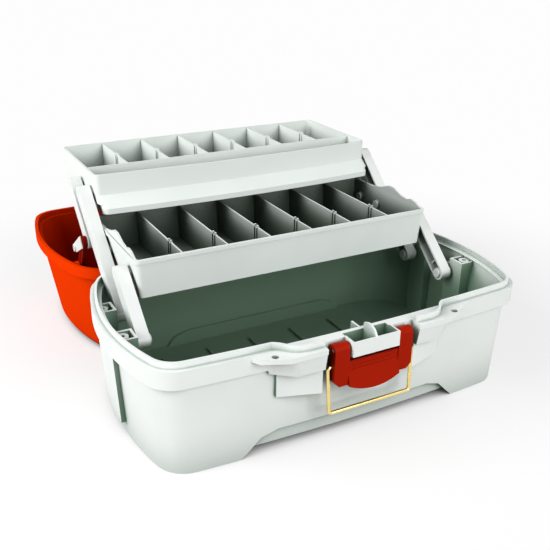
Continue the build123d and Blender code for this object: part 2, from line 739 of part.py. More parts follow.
base_pins = None
base_pin_in = ARM_IN - AXIAL_GAP - HEAD_THICK
for point in (A1, A2):
    piece = pin(base_pin_in, POST_IN + POST_WALL, point, PIN_R, base_pin_in)
    base_pins = piece if base_pins is None else base_pins + piece
save(both(base_pins), "base_pivot_pins")
save(both(rod(LINK_IN, LID_PIN_END, LP[0], LP[1], LID_PIN_R)), "lid_link_pins")


# Trays
DIVIDER_PLACES = [DIVIDER_PITCH * (index - (DIVIDER_COUNT - 1) / 2) for index in range(DIVIDER_COUNT)]


def tray_plan(half, front, rear, bow, radius):
    """A tray's plan with straight ends and rear and a bowed front."""
    back = Polyline((half, front), (half, rear), (-half, rear), (-half, front))
    fore = ThreePointArc((-half, front), (0, front - bow), (half, front))
    face = make_face([*back.edges(), fore])
    return fillet(face.vertices(), radius)


def dividers(y0, y1, z0, top, rib_y):
    """Cross walls with a pair of guide ribs on each face."""
    walls = None
    for x in DIVIDER_PLACES:
        wall = box(x - DIVIDER / 2, x + DIVIDER / 2, y0, y1, z0, top)
        for y in (rib_y - RIB_GAP / 2, rib_y + RIB_GAP / 2):
            wide = DIVIDER / 2 + RIB
            wall += box(x - wide, x + wide, y - RIB / 2, y + RIB / 2, z0, top)
            wall += box(x - DIVIDER / 2, x + DIVIDER / 2, y - RIB, y + RIB, top - RIB, top + NUB)
        walls = wall if walls is None else walls + wall
    return walls


LOWER_Z = RIM_Z + LIP_HEIGHT + LOWER_CLEAR
LOWER_TOP = T1[1] + LOWER_RISE
LOWER_HEIGHT = LOWER_TOP - LOWER_Z
LOWER_FRONT = T1[0] - LOWER_LEAD
LOWER_REAR = LOWER_FRONT + LOWER_DEPTH
UPPER_Z = U1[1] - UPPER_DROP
UPPER_TOP = UPPER_Z + UPPER_HEIGHT
UPPER_FRONT = U1[0] - UPPER_LEAD
UPPER_REAR = UPPER_FRONT + UPPER_DEPTH
SKIRT_Z = UPPER_Z + SKIRT_HEIGHT
SHELF_Z = UPPER_Z + SHELF_HEIGHT
TROUGH_Y = UPPER_FRONT + TROUGH


def lower_plan(z, inset):
    """The lower tray's plan at a height, drawn in by an inset."""
    taper = LOWER_TAPER * (LOWER_TOP - z) / LOWER_HEIGHT + inset
    front = LOWER_FRONT + taper
    return tray_plan(TRAY_HALF - taper, front, LOWER_REAR - taper, LOWER_BOW, TRAY_CORNER - inset)


lower = stack([(LOWER_Z, lower_plan(LOWER_Z, 0)), (LOWER_TOP, lower_plan(LOWER_TOP, 0))])
lower += layer(lower_plan(LOWER_TOP, -BEAD), LOWER_TOP - BEAD_HEIGHT, LOWER_TOP)
ear_points = [
    (LOWER_FRONT + 6, LOWER_TOP - 6),
    (LOWER_FRONT + 6, LOWER_TOP),
    (LOWER_FRONT + 16, LOWER_TOP + EAR_RISE * 0.45),
    (LOWER_FRONT + 24, LOWER_TOP + EAR_RISE * 0.55),
    (LOWER_FRONT + 31, LOWER_TOP + EAR_RISE * 0.3),
    (LOWER_FRONT + 42, LOWER_TOP + EAR_RISE * 0.45),
    (LOWER_FRONT + 56, LOWER_TOP + EAR_RISE),
    (LOWER_FRONT + 66, LOWER_TOP + EAR_RISE),
    (LOWER_FRONT + 80, LOWER_TOP + EAR_RISE * 0.4),
    (LOWER_FRONT + 98, LOWER_TOP),
    (LOWER_FRONT + 98, LOWER_TOP - 6),
]
lower_floor = LOWER_Z + TRAY_FLOOR
lower -= stack([(z, lower_plan(z, TRAY_WALL)) for z in (lower_floor, LOWER_TOP)])
lower += dividers(
    LOWER_FRONT + TRAY_WALL,
    LOWER_REAR - TRAY_WALL - DIVIDER_SET,
    LOWER_Z + DIVIDER_SET,
    LOWER_TOP - DIVIDER_SET,
    LOWER_FRONT + RIB_SET,
)
lower += both(slab_yz(ear_points, TRAY_HALF - TRAY_WALL, TRAY_HALF))
lower_pins = None
for point in (T1, T2, T3):
    seat = rod(TRAY_HALF - LOWER_TAPER - TRAY_WALL, TRAY_HALF + BEAD, point[0], point[1], HEAD_R + 1)
    lower += both(seat)
for point in (T1, T2, T3):
    start = TRAY_HALF - LOWER_TAPER - TRAY_WALL
    piece = pin(start - HEAD_THICK, ARM_OUT, point, PIN_R, start - HEAD_THICK)
    lower_pins = piece if lower_pins is None else lower_pins + piece
lower_pins = both(lower_pins)
lower -= lower_pins
save(lower, "lower_tray")
save(lower_pins, "lower_tray_pins")


def upper_plan(z, inset):
    """The upper tray's plan: ends set in at the foot, a skirt, a sloping shelf, then upright."""
    foot = SKIRT_Z + EAR_ROOM
    set_in = END_SET if z <= foot else 0.0
    climb = min(max((z - SKIRT_Z) / (SHELF_Z - SKIRT_Z), 0.0), 1.0)
    front = UPPER_FRONT - SKIRT_REACH * (1 - climb) + inset
    half = TRAY_HALF - set_in - inset
    return tray_plan(half, front, UPPER_REAR - inset, UPPER_BOW, UPPER_CORNER - inset)


foot_top = SKIRT_Z + EAR_ROOM
levels = (UPPER_Z, SKIRT_Z, foot_top, foot_top + TRAY_WALL, SHELF_Z, UPPER_TOP)
room_levels = (UPPER_Z + TRAY_FLOOR, SKIRT_Z - SHELF_FALL, foot_top, foot_top + TRAY_WALL)
room_levels += (SHELF_Z - SHELF_FALL, UPPER_TOP)
upper_body = stack([(z, upper_plan(z, 0)) for z in levels])
upper_room = stack([(z, upper_plan(z, TRAY_WALL)) for z in room_levels])
upper = upper_body - upper_room
trough_wall = box(
    -TRAY_HALF + DIVIDER_SET,
    TRAY_HALF - DIVIDER_SET,
    TROUGH_Y - DIVIDER / 2,
    TROUGH_Y + DIVIDER / 2,
    UPPER_Z + DIVIDER_SET,
    UPPER_TOP - DIVIDER_SET,
)
upper += trough_wall & upper_body
upper += dividers(
    TROUGH_Y,
    UPPER_REAR - TRAY_WALL - DIVIDER_SET,
    UPPER_Z + DIVIDER_SET,
    UPPER_TOP - DIVIDER_SET,
    TROUGH_Y + RIB_SET,
)
upper_pins = None
for point in (U1, U2):
    start = TRAY_HALF - TRAY_WALL
    piece = pin(start - HEAD_THICK, ARM_OUT, point, PIN_R, start - HEAD_THICK)
    upper_pins = piece if upper_pins is None else upper_pins + piece
upper_pins = both(upper_pins)
upper += both(rod(TRAY_HALF - 1, TRAY_HALF + BEAD, U1[0], U1[1], HEAD_R + 1))
upper += both(rod(TRAY_HALF - 1, TRAY_HALF + BEAD, U2[0], U2[1], HEAD_R + 1))
upper -= upper_pins
save(upper, "upper_tray")
save(upper_pins, "upper_tray_pins")

# Latch lever
SHOULDER_IN = BOX_HALF + LEVER_GAP
PLATE_TOP = LATCH_Z - math.hypot(BOX_REACH, LATCH_Z - BOX_LOW) - LEVER_CLEAR
LIP_HALF = SHOULDER_IN + LEVER_CLEAR
LEVER_LOW = LATCH_Z - LEVER_LENGTH
LIP_LOW = LEVER_LOW - LIP_DROP
shoulder = box(SHOULDER_IN, LEVER_HALF, LEVER_FRONT, LATCH_Y + SHOULDER_R, LEVER_LOW + 6, LATCH_Z)
shoulder += rod(SHOULDER_IN, LEVER_HALF, LATCH_Y, LATCH_Z, SHOULDER_R)
foot_points = [
    (SHOULDER_IN, LEVER_LOW),
    (LEVER_HALF - 5, LEVER_LOW),
    (LEVER_HALF, LEVER_LOW + 5),
    (LEVER_HALF, LEVER_LOW + 7),
    (SHOULDER_IN, LEVER_LOW + 7),
]
shoulder += slab_xz(foot_points, LEVER_FRONT, LATCH_Y + SHOULDER_R)
lever = both(shoulder)
lever += box(
    -SHOULDER_IN - 2, SHOULDER_IN + 2, LEVER_FRONT + 1, LEVER_FRONT + 1 + LEVER_PLATE, LEVER_LOW, PLATE_TOP
)
lip_profile = slab_yz(
    [
        (LEVER_FRONT + 1, LEVER_LOW + 14),
        (LEVER_FRONT - LIP_REACH * 0.5, LEVER_LOW + 2),
        (LEVER_FRONT - LIP_REACH, LIP_LOW),
        (LEVER_FRONT - LIP_REACH + 4, LIP_LOW),
        (LEVER_FRONT + 1 + LEVER_PLATE, LEVER_LOW + 4),
        (LEVER_FRONT + 1 + LEVER_PLATE, LEVER_LOW + 14),
    ],
    -LIP_HALF,
    LIP_HALF,
)
lip_shape = make_face(
    [
        ThreePointArc((-LIP_HALF, LEVER_LOW - 1), (0, LIP_LOW), (LIP_HALF, LEVER_LOW - 1)),
        Line((LIP_HALF, LEVER_LOW - 1), (LIP_HALF, LEVER_LOW + 20)),
        Line((LIP_HALF, LEVER_LOW + 20), (-LIP_HALF, LEVER_LOW + 20)),
        Line((-LIP_HALF, LEVER_LOW + 20), (-LIP_HALF, LEVER_LOW - 1)),
    ]
)
lip_plane = Plane(origin=(0, LEVER_FRONT + 20, 0), x_dir=(1, 0, 0), z_dir=(0, -1, 0))
lever += lip_profile & extrude(lip_plane * lip_shape, amount=40)
for index in range(4):
    z = LEVER_LOW + 9 + 4 * index
    lever += box(-LIP_HALF + 4, LIP_HALF - 4, LEVER_FRONT + 1 - GRIP_RISE, LEVER_FRONT + 2, z, z + 1.4)
lever -= rod(-LEVER_HALF - 1, LEVER_HALF + 1, LATCH_Y, LATCH_Z, LATCH_PIN_R + PIN_CLEAR)
BAIL_Y = LATCH_Y
BAIL_Z = LATCH_Z - BAIL_DROP
BAIL_LOW = BAIL_Z - BAIL_LENGTH
BAIL_HALF = LEVER_HALF + BAIL_OUT
lever -= both(rod(LEVER_HALF - BAIL_INSERT - 1, LEVER_HALF + 1, BAIL_Y, BAIL_Z, WIRE_R + PIN_CLEAR))
save(lever, "latch_lever")

latch_pins = both(rod(BOX_HALF - BOX_WALL, LEVER_HALF - 1, LATCH_Y, LATCH_Z, LATCH_PIN_R))
save(latch_pins, "latch_pins")

# Bail, a bent wire whose ends turn in the lever's sides
END_X = LEVER_HALF - BAIL_INSERT
bail_path = FilletPolyline(
    (-END_X, BAIL_Y, BAIL_Z),
    (-BAIL_HALF, BAIL_Y, BAIL_Z),
    (-BAIL_HALF + BAIL_NARROW, BAIL_Y - BAIL_LEAN, BAIL_LOW),
    (BAIL_HALF - BAIL_NARROW, BAIL_Y - BAIL_LEAN, BAIL_LOW),
    (BAIL_HALF, BAIL_Y, BAIL_Z),
    (END_X, BAIL_Y, BAIL_Z),
    radius=BAIL_BEND,
)
wire_end = Plane(origin=(-END_X, BAIL_Y, BAIL_Z), z_dir=(-1, 0, 0))
bail = sweep(wire_end * Circle(WIRE_R), path=bail_path)
save(bail, "latch_bail")
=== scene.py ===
import bmesh
import bpy
import math
from mathutils import Matrix, Vector


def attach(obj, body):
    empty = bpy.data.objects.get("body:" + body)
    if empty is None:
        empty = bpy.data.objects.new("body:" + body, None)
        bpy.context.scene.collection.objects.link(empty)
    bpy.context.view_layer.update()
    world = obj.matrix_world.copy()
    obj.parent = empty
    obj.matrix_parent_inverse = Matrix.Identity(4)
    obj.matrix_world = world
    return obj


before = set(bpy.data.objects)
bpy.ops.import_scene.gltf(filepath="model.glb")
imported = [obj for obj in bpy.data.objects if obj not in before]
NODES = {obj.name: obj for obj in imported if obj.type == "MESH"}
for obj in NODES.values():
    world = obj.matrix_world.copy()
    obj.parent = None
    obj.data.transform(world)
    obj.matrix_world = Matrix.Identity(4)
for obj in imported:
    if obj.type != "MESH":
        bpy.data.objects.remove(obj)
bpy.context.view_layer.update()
SIDES = {"left": -1.0, "right": 1.0}

# Camera, from the photograph's vanishing lines
CAMERA_PLACE = (-0.36171, -0.72858, 0.43046)
CAMERA_PITCH = math.radians(23.74)
CAMERA_AZIMUTH = math.radians(-28.24)
CAMERA_ROLL = math.radians(0.54)
CAMERA_LENS = 50.33
CAMERA_SENSOR = 36.0
CAMERA_FAR = 50.0

# Lamps: places and widths in metres, powers in watts
LAMP_AIM = (0.0, 0.0, 0.1)
LAMP_SIZE = 1.4
SIDE_PLACE = (-1.9, 0.15, 1.1)
SIDE_POWER = 48.0
FRONT_PLACE = (0.30, -2.0, 1.05)
FRONT_POWER = 36.0
WORLD_LEVEL = 0.29

# Floor and backdrop
FLOOR_HALF = 6.0
FLOOR_COLOUR = (0.30, 0.30, 0.30)
FLOOR_LIFT = 0.66
# Painted contact shadow on the floor: how open the floor is where it is darkest and where it is clear, and
# the reach in metres
FLOOR_SHADE = (0.05, 0.60)
FLOOR_SHADE_REACH = 0.035
FLOOR_NEAR = 0.30
FLOOR_FAR = 0.66
BACKGROUND = 0.985

# Colours as linear light; the dark colour paired with each plastic is painted shade, mixed in where
# crevices and hollows shut the surface in
WHITE = (0.79, 0.825, 0.805)
WHITE_PAINTED_SHADE = (0.125, 0.20, 0.14)
TRAY_WHITE = (0.74, 0.785, 0.755)
TRAY_PAINTED_SHADE = (0.045, 0.065, 0.047)
ARM_WHITE = (0.76, 0.785, 0.77)
ARM_PAINTED_SHADE = (0.20, 0.24, 0.21)
PIN_WHITE = (0.72, 0.75, 0.74)
ORANGE = (0.80, 0.040, 0.001)
ORANGE_PAINTED_SHADE = (0.34, 0.006, 0.0006)
LINK_RED = (0.20, 0.005, 0.0005)
LATCH_RED = (0.34, 0.0105, 0.0008)
LATCH_PAINTED_SHADE = (0.09, 0.002, 0.0004)
HANDLE_GREY = (0.66, 0.69, 0.68)
HANDLE_PAINTED_SHADE = (0.16, 0.18, 0.17)
BRASS = (0.88, 0.70, 0.29)
STEEL = (0.60, 0.60, 0.60)

# Painted shade in crevices and hollows: reach in metres, and how open a place is where the painted shade is
# darkest and where it is clear
OPENNESS_SAMPLES = 16
CREVICE_REACH = 0.20
HOLLOW_REACH = 0.30
SHELL_CREVICE = (0.00, 0.55)
SHELL_HOLLOW = (0.27, 0.80)
LOW_TRAY_CREVICE = (0.06, 0.34)
LOW_TRAY_HOLLOW = (0.22, 0.85)
HIGH_TRAY_CREVICE = (0.02, 0.42)
PLAIN_CREVICE = (0.10, 0.50)
LID_HOLLOW = (0.10, 0.62)

# Extra painted shade in the tub, darker towards the bottom, fading out at the given height in metres
TUB_LOW_SHADE = 0.41
TUB_SHADE_TOP_Z = 0.10

# Surface texture: noise in cells per metre, heights in metres
NOISE_LOW = 0.3
NOISE_HIGH = 0.7
CLOUD_SCALE = 14.0
CLOUD_SHADES = (0.965, 1.02)
GLOSS_SCALE = 60.0
GLOSS_SPREAD = (-0.04, 0.05)
GRAIN_SCALE = 1600.0
GRAIN_DETAIL = 3.0
GRAIN_HEIGHT = 0.0002
GRAIN_STRENGTH = 0.10
TARNISH_SCALE = 90.0
TARNISH_SHADES = (0.86, 1.06)
DRAW_SPREAD = (-0.06, 0.08)
DRAW_HEIGHT = 0.0001
DRAW_STRENGTH = 0.08
BRASS_LINES = 900.0
STEEL_LINES = 1100.0

# Edge rounding
WELD_GAP = 0.00001
EDGE_SEGMENTS = 2
EDGE_ANGLE = math.radians(40)
SHELL_EDGE = 0.0008
TRAY_EDGE = 0.0005
ARM_EDGE = 0.0011
LATCH_EDGE = 0.0012
PIN_EDGE = 0.0004
DETAIL_EDGE = 0.0003

# Socket numbers of a colour mix node
MIX_FACTOR = 0
MIX_LOW = 6
MIX_HIGH = 7
MIX_RESULT = 2


# Node graph helpers
def set_socket(tree, socket, value):
    """Link a socket to another, or give it a plain value."""
    if isinstance(value, bpy.types.NodeSocket):
        tree.links.new(value, socket)
    else:
        socket.default_value = value


def add_node(tree, kind, **inputs):
    """A shader node with some of its sockets set or linked."""
    made = tree.nodes.new(kind)
    for name, value in inputs.items():
        set_socket(tree, made.inputs[name.replace("_", " ")], value)
    return made


def add_math(tree, operation, first, second):
    """The result of a sum or another operation on two values."""
    made = add_node(tree, "ShaderNodeMath")
    made.operation = operation
    tree.links.new(first, made.inputs[0])
    tree.links.new(second, made.inputs[1])
    return made.outputs[0]


def join_shaders(tree, made, first, second):
    """The result of an add or mix shader node, fed by two shaders in its last two sockets."""
    tree.links.new(first, made.inputs[-2])
    tree.links.new(second, made.inputs[-1])
    return made.outputs[0]


def shade(colour, factor):
    """A colour made lighter or darker, with full alpha."""
    return tuple(min(channel * factor, 1.0) for channel in colour) + (1.0,)


def blank_material(name):
    """An empty node material with its output."""
    material = bpy.data.materials.new(name)
    material.use_nodes = True
    material.node_tree.nodes.clear()
    output = material.node_tree.nodes.new("ShaderNodeOutputMaterial")
    return material, material.node_tree, output


def object_place(tree):
    """The place on the piece, in its own axes."""
    return add_node(tree, "ShaderNodeTexCoord").outputs["Object"]


def object_noise(tree, scale, detail=2.0):
    """Noise fixed to the piece, scale in cells per metre."""
    place = object_place(tree)
    return add_node(tree, "ShaderNodeTexNoise", Vector=place, Scale=scale, Detail=detail).outputs["Fac"]


def spread(tree, factor, middle, reach):
    """A noise value stretched to a range below and above a middle value."""
    made = add_node(
        tree,
        "ShaderNodeMapRange",
        Value=factor,
        From_Min=NOISE_LOW,
        From_Max=NOISE_HIGH,
        To_Min=middle + reach[0],
        To_Max=middle + reach[1],
    )
    return made.outputs["Result"]


def bump_normal(tree, strength, depth, height):
    """The normal of a surface roughened by a height value."""
    made = add_node(tree, "ShaderNodeBump", Strength=strength, Distance=depth, Height=height)
    return made.outputs["Normal"]


def smooth_step(tree, value, low, high):
    """A value eased from 0 at the low end to 1 at the high end."""
    made = add_node(tree, "ShaderNodeMapRange", Value=value, From_Min=low, From_Max=high)
    made.interpolation_type = "SMOOTHSTEP"
    return made.outputs["Result"]


def mix_colour(tree, factor, low, high):
    """A mix of two colours by a factor."""
    made = add_node(tree, "ShaderNodeMix")
    made.data_type = "RGBA"
    tree.links.new(factor, made.inputs[MIX_FACTOR])
    set_socket(tree, made.inputs[MIX_LOW], low)
    set_socket(tree, made.inputs[MIX_HIGH], high)
    return made.outputs[MIX_RESULT]


def seen_directly(tree):
    """1 for what the camera sees straight or in a reflection, otherwise 0."""
    path = add_node(tree, "ShaderNodeLightPath").outputs
    return add_math(tree, "MAXIMUM", path["Is Camera Ray"], path["Is Glossy Ray"])


# Materials
def openness(tree, reach, dark, clear, alone, low_shade=0.0):
    """How open a surface is to all around it, or to its own piece alone: 0 where shut in, 1 where clear;
    used as the mask for painted shade.
    """
    around = add_node(tree, "ShaderNodeAmbientOcclusion", Distance=reach)
    around.samples = OPENNESS_SAMPLES
    around.only_local = alone
    level = around.outputs["AO"]
    # Painted shade: the openness is lowered towards the bottom of the piece, so it renders darker there
    if low_shade:
        height = add_node(tree, "ShaderNodeSeparateXYZ", Vector=object_place(tree)).outputs["Z"]
        loss = add_node(
            tree, "ShaderNodeMapRange", Value=height, From_Max=TUB_SHADE_TOP_Z, To_Min=-low_shade, To_Max=0.0
        )
        level = add_math(tree, "ADD", level, loss.outputs["Result"])
    return smooth_step(tree, level, dark, clear)


def plastic(name, colour, painted_shade, roughness, specular, crevice=PLAIN_CREVICE, hollow=None, low_shade=0.0):
    """Moulded plastic: faint clouding, uneven gloss, a fine grain, and painted shade that darkens it in
    crevices and hollows.
    """
    material, tree, output = blank_material(name)
    clouds = add_node(tree, "ShaderNodeValToRGB", Fac=object_noise(tree, CLOUD_SCALE))
    for stop, place, factor in zip(clouds.color_ramp.elements, (NOISE_LOW, NOISE_HIGH), CLOUD_SHADES):
        stop.position = place
        stop.color = shade(colour, factor)
    # Painted shade: the dark colour is mixed in where other pieces, or the piece's own hollows, shut the
    # surface in
    painted_shade_colour = shade(painted_shade, 1.0)
    clear = openness(tree, CREVICE_REACH, *crevice, False)
    tint = mix_colour(tree, clear, painted_shade_colour, clouds.outputs["Color"])
    if hollow:
        clear = openness(tree, HOLLOW_REACH, *hollow, True, low_shade)
        tint = mix_colour(tree, clear, painted_shade_colour, tint)
    shader = add_node(
        tree,
        "ShaderNodeBsdfPrincipled",
        Base_Color=tint,
        Roughness=spread(tree, object_noise(tree, GLOSS_SCALE), roughness, GLOSS_SPREAD),
        Specular_IOR_Level=specular,
        Normal=bump_normal(
            tree, GRAIN_STRENGTH, GRAIN_HEIGHT, object_noise(tree, GRAIN_SCALE, GRAIN_DETAIL)
        ),
    )
    tree.links.new(shader.outputs["BSDF"], output.inputs["Surface"])
    return material


def metal(name, colour, roughness, lines):
    """Drawn metal: fine lines in gloss and height."""
    material, tree, output = blank_material(name)
    tint = add_node(tree, "ShaderNodeValToRGB", Fac=object_noise(tree, TARNISH_SCALE))
    for stop, factor in zip(tint.color_ramp.elements, TARNISH_SHADES):
        stop.color = shade(colour, factor)
    shader = add_node(
        tree,
        "ShaderNodeBsdfPrincipled",
        Base_Color=tint.outputs["Color"],
        Metallic=1.0,
        Roughness=spread(tree, object_noise(tree, lines), roughness, DRAW_SPREAD),
        Normal=bump_normal(tree, DRAW_STRENGTH, DRAW_HEIGHT, object_noise(tree, lines)),
    )
    tree.links.new(shader.outputs["BSDF"], output.inputs["Surface"])
    return material


SHELL_PLASTIC = plastic(
    "white_shell_plastic",
    WHITE,
    WHITE_PAINTED_SHADE,
    roughness=0.42,
    specular=0.25,
    crevice=SHELL_CREVICE,
    hollow=SHELL_HOLLOW,
    low_shade=TUB_LOW_SHADE,
)
LOW_TRAY_PLASTIC = plastic(
    "white_low_tray_plastic",
    TRAY_WHITE,
    TRAY_PAINTED_SHADE,
    roughness=0.45,
    specular=0.25,
    crevice=LOW_TRAY_CREVICE,
    hollow=LOW_TRAY_HOLLOW,
)
HIGH_TRAY_PLASTIC = plastic(
    "white_high_tray_plastic",
    TRAY_WHITE,
    TRAY_PAINTED_SHADE,
    roughness=0.45,
    specular=0.25,
    crevice=HIGH_TRAY_CREVICE,
)
ARM_PLASTIC = plastic("white_arm_plastic", ARM_WHITE, ARM_PAINTED_SHADE, roughness=0.36, specular=0.35)
PIN_PLASTIC = plastic("white_pin_plastic", PIN_WHITE, ARM_PAINTED_SHADE, roughness=0.40, specular=0.35)
LID_PLASTIC = plastic(
    "orange_lid_plastic", ORANGE, ORANGE_PAINTED_SHADE, roughness=0.48, specular=0.0, hollow=LID_HOLLOW
)
LINK_PLASTIC = plastic("red_link_plastic", LINK_RED, LATCH_PAINTED_SHADE, roughness=0.48, specular=0.02)
LATCH_PLASTIC = plastic("red_latch_plastic", LATCH_RED, LATCH_PAINTED_SHADE, roughness=0.40, specular=0.04)
HANDLE_PLASTIC = plastic("grey_handle_plastic", HANDLE_GREY, HANDLE_PAINTED_SHADE, roughness=0.42, specular=0.3)
BRASS_METAL = metal("brass_wire_metal", BRASS, roughness=0.16, lines=BRASS_LINES)
STEEL_METAL = metal("steel_pin_metal", STEEL, roughness=0.32, lines=STEEL_LINES)


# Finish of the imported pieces
def dress(node, material, edge):
    """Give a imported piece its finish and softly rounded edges."""
    piece = NODES[node]
    piece.data.materials.clear()
    piece.data.materials.append(material)
    weld = piece.modifiers.new("Joined_faces", "WELD")
    weld.merge_threshold = WELD_GAP
    rounding = piece.modifiers.new("Rounded_edges", "BEVEL")
    rounding.width = edge
    rounding.segments = EDGE_SEGMENTS
    rounding.limit_method = "ANGLE"
    rounding.angle_limit = EDGE_ANGLE
    rounding.use_clamp_overlap = True
    rounding.harden_normals = False
    normals = piece.modifiers.new("Even_shading", "WEIGHTED_NORMAL")
    normals.keep_sharp = False


FINISHES = {
    "base_shell": (SHELL_PLASTIC, SHELL_EDGE),
    "lid_shell": (LID_PLASTIC, SHELL_EDGE),
    "lower_tray": (LOW_TRAY_PLASTIC, TRAY_EDGE),
    "upper_tray": (HIGH_TRAY_PLASTIC, TRAY_EDGE),
    "latch_lever": (LATCH_PLASTIC, LATCH_EDGE),
    "latch_bail": (BRASS_METAL, PIN_EDGE),
    "carry_handle": (HANDLE_PLASTIC, ARM_EDGE),
    "hinge_pins": (STEEL_METAL, PIN_EDGE),
    "handle_pins": (STEEL_METAL, PIN_EDGE),
    "latch_pins": (STEEL_METAL, PIN_EDGE),
    "base_pivot_pins": (PIN_PLASTIC, PIN_EDGE),
    "lower_tray_pins": (PIN_PLASTIC, PIN_EDGE),
    "upper_tray_pins": (PIN_PLASTIC, PIN_EDGE),
    "lid_link_pins": (LINK_PLASTIC, PIN_EDGE),
}
for side in SIDES:
    for bar in ("front_arm", "long_arm", "rear_link"):
        FINISHES[f"{bar}_{side}"] = (ARM_PLASTIC, ARM_EDGE)
    FINISHES[f"lid_link_{side}"] = (LINK_PLASTIC, ARM_EDGE)
for node, (material, edge) in FINISHES.items():
    dress(node, material, edge)

# Screw bosses in the arm posts, in metres in the frame's own axes
POST_CENTRES = {"front": -0.13325, "rear": -0.07125}
POST_X = 0.1955
POST_TOP = 0.1045
BOSS_FOOT = 0.080
BOSS_R = 0.0058
BOSS_BORE = 0.0022
BOSS_LAP = 0.0008
BOSS_WEB = 0.0009
BOSS_WEB_TOP = 0.1025
BOSS_REACH = 0.0080
TURNS = 32

# Cross ribs in the arm channels, each placed from the arm's lower pivot along its run
RIB_ARMS = {"front": (-0.12275, 0.090), "long": (-0.06075, 0.090)}
ARM_RUN = (0.743, 0.669)
RIB_PLACE = 0.0150
RIB_HALF = 0.0059
RIB_WAIST = 0.7
RIB_THIN = 0.0007
RIB_FLARE = 0.0016
RIB_X = (0.1722, 0.1778)

# Feet of the rear links
FOOT_PLATE_X = (0.1858, 0.1874)
FOOT_PLATE = (
    (0.0225, 0.1310),
    (0.0290, 0.1425),
    (0.0545, 0.1264),
    (0.0572, 0.1200),
    (0.0520, 0.1166),
    (0.0455, 0.1190),
)
FOOT_BOSS = (0.0526, 0.1217)
FOOT_BOSS_X = (0.1858, 0.1887)
FOOT_BOSS_R = 0.0043
FOOT_BOSS_BORE = 0.0019

# Ledges inside the rim, on the wall that faces in past a distance from the middle
LEDGE_Z = (0.1055, 0.1078)
LEDGE_EDGE = 0.0009
LEDGE_REACH = 0.0024
LEDGE_ROOT = 0.0004
LEDGE_FROM_X = 0.172
LEDGE_FACING = 0.2
LEDGE_UPRIGHT = 0.1


def bridge(bm, here, there):
    """Faces between two closed rows of points."""
    for index in range(len(here)):
        after = (index + 1) % len(here)
        bm.faces.new((here[index], here[after], there[after], there[index]))


def add_prism(bm, points, x_span):
    """A polygon in the side plane, carried along x."""
    near, far = ([bm.verts.new((x, y, z)) for y, z in points] for x in x_span)
    bm.faces.new(near)
    bm.faces.new(far[::-1])
    bridge(bm, near, far)


def add_tube(bm, centre, outer, bore, span, axis):
    """A tube with an open bore along x or z; centre holds the other two coordinates."""
    rings = []
    for radius, level in ((outer, span[0]), (outer, span[1]), (bore, span[1]), (bore, span[0])):
        ring = []
        for turn in range(TURNS):
            angle = 2 * math.pi * turn / TURNS
            first = centre[0] + radius * math.cos(angle)
            second = centre[1] + radius * math.sin(angle)
            ring.append(bm.verts.new((first, second, level) if axis == "z" else (level, first, second)))
        rings.append(ring)
    for here, there in zip(rings, rings[1:] + rings[:1]):
        bridge(bm, here, there)


def add_piece(name, bm, material, body):
    """A finished detail riding on a body."""
    bmesh.ops.recalc_face_normals(bm, faces=bm.faces)
    mesh = bpy.data.meshes.new(name)
    bm.to_mesh(mesh)
    bm.free()
    mesh.materials.append(material)
    piece = bpy.data.objects.new(name, mesh)
    bpy.context.scene.collection.objects.link(piece)
    rounding = piece.modifiers.new("Rounded_edges", "BEVEL")
    rounding.width = DETAIL_EDGE
    rounding.segments = EDGE_SEGMENTS
    rounding.limit_method = "ANGLE"
    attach(piece, body)


def post_boss(side, post):
    """A screw boss with two webs inside an arm post."""
    bm = bmesh.new()
    x, y = SIDES[side] * POST_X, POST_CENTRES[post]
    add_tube(bm, (x, y), BOSS_R, BOSS_BORE, (BOSS_FOOT, POST_TOP), "z")
    for way in (-1.0, 1.0):
        near, far = y + way * (BOSS_R - BOSS_LAP), y + way * BOSS_REACH
        corners = (
            (near, BOSS_FOOT),
            (far, BOSS_FOOT),
            (far, BOSS_WEB_TOP),
            (near, POST_TOP - BOSS_LAP),
        )
        add_prism(bm, corners, (x - BOSS_WEB, x + BOSS_WEB))
    add_piece(f"post_boss_{post}_{side}", bm, SHELL_PLASTIC, "base")


def arm_rib(side, arm):
    """A flared cross rib low in an arm's channel."""
    bm = bmesh.new()
    (y, z), (run_y, run_z) = RIB_ARMS[arm], ARM_RUN
    y, z = y + RIB_PLACE * run_y, z + RIB_PLACE * run_z
    outline = []
    steps = ((-1.0, RIB_FLARE), (-RIB_WAIST, RIB_THIN), (RIB_WAIST, RIB_THIN), (1.0, RIB_FLARE))
    for way, order in ((1.0, steps), (-1.0, steps[::-1])):
        for across, along in order:
            shift, step = across * RIB_HALF, way * along
            outline.append((y + step * run_y - shift * run_z, z + step * run_z + shift * run_y))
    add_prism(bm, outline, [SIDES[side] * x for x in RIB_X])
    add_piece(f"arm_rib_{arm}_{side}", bm, ARM_PLASTIC, f"{arm}_arms")


def link_foot(side):
    """A white foot with a web and a hollow boss at the lower end of a rear link."""
    bm = bmesh.new()
    plate_x = [SIDES[side] * x for x in FOOT_PLATE_X]
    boss_x = [SIDES[side] * x for x in FOOT_BOSS_X]
    add_prism(bm, FOOT_PLATE, plate_x)
    add_tube(bm, FOOT_BOSS, FOOT_BOSS_R, FOOT_BOSS_BORE, boss_x, "x")
    add_piece(f"link_foot_{side}", bm, ARM_PLASTIC, "rear_links")


